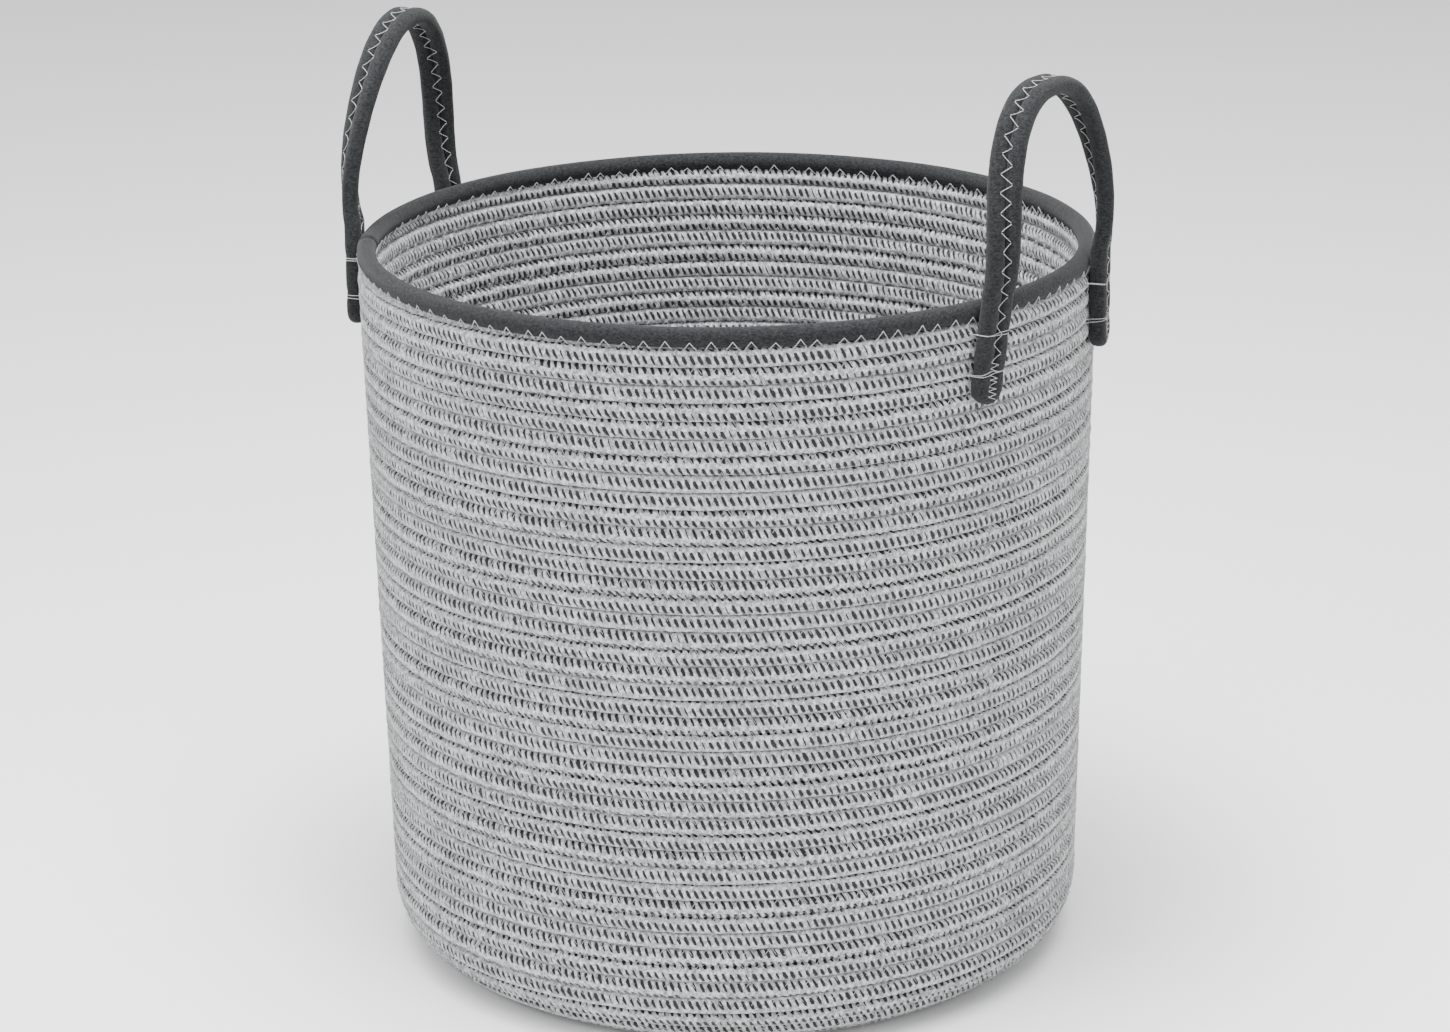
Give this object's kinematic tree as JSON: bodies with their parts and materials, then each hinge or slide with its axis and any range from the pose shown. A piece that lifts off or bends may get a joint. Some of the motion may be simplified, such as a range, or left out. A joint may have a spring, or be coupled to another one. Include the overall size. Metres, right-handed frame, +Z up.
{
  "type": "laundry basket",
  "caption": "Round soft basket of coiled, sewn knitted rope with a dark rim cord and looped cord handles that fold in or hang outside.",
  "frame": {"origin": "middle of the underside, on the floor", "axes": "+Z up; the handles stand at +X and -X, each a little towards -Y, the front"},
  "size_m": [0.3964, 0.38, 0.4813],
  "materials": {
    "knitted_rope": "light grey knitted cotton sleeve with small slanted openings",
    "rope_core": "dark grey twisted yarn core",
    "felted_cord": "charcoal felted round cord",
    "cord_filler": "undyed yarn filling",
    "thread": "light grey twisted sewing thread"
  },
  "bodies": {
    "basket": {"base_rope_cover": "knitted_rope", "base_rope_core": "rope_core", "base_stitching": "thread", "wall_rope_cover": "knitted_rope", "wall_rope_core": "rope_core", "wall_stitching": "thread", "rim_cord_sleeve": "felted_cord", "rim_cord_filler": "cord_filler", "rim_stitching": "thread", "right_handle_bends": "felted_cord", "right_front_end": "felted_cord", "right_rear_end": "felted_cord", "right_end_stitching": "thread", "right_end_tacks": "thread", "left_handle_bends": "felted_cord", "left_front_end": "felted_cord", "left_rear_end": "felted_cord", "left_end_stitching": "thread", "left_end_tacks": "thread"},
    "right_handle": {"right_handle_inner_cord": "felted_cord", "right_handle_outer_cord": "felted_cord", "right_handle_stitching": "thread"},
    "left_handle": {"left_handle_inner_cord": "felted_cord", "left_handle_outer_cord": "felted_cord", "left_handle_stitching": "thread"}
  },
  "joints": [
    {"name": "right_handle_fold", "type": "hinge", "parent": "basket", "child": "right_handle", "pos_m": [0.19147, -0.01675, 0.383], "axis": [0.0872, 0.9962, 0], "range_deg": [-85, 170], "deforming": ["right_handle_bends"]},
    {"name": "left_handle_fold", "type": "hinge", "parent": "basket", "child": "left_handle", "pos_m": [-0.19147, -0.01675, 0.383], "axis": [0.0872, -0.9962, 0], "range_deg": [-85, 170], "deforming": ["left_handle_bends"]}
  ]
}
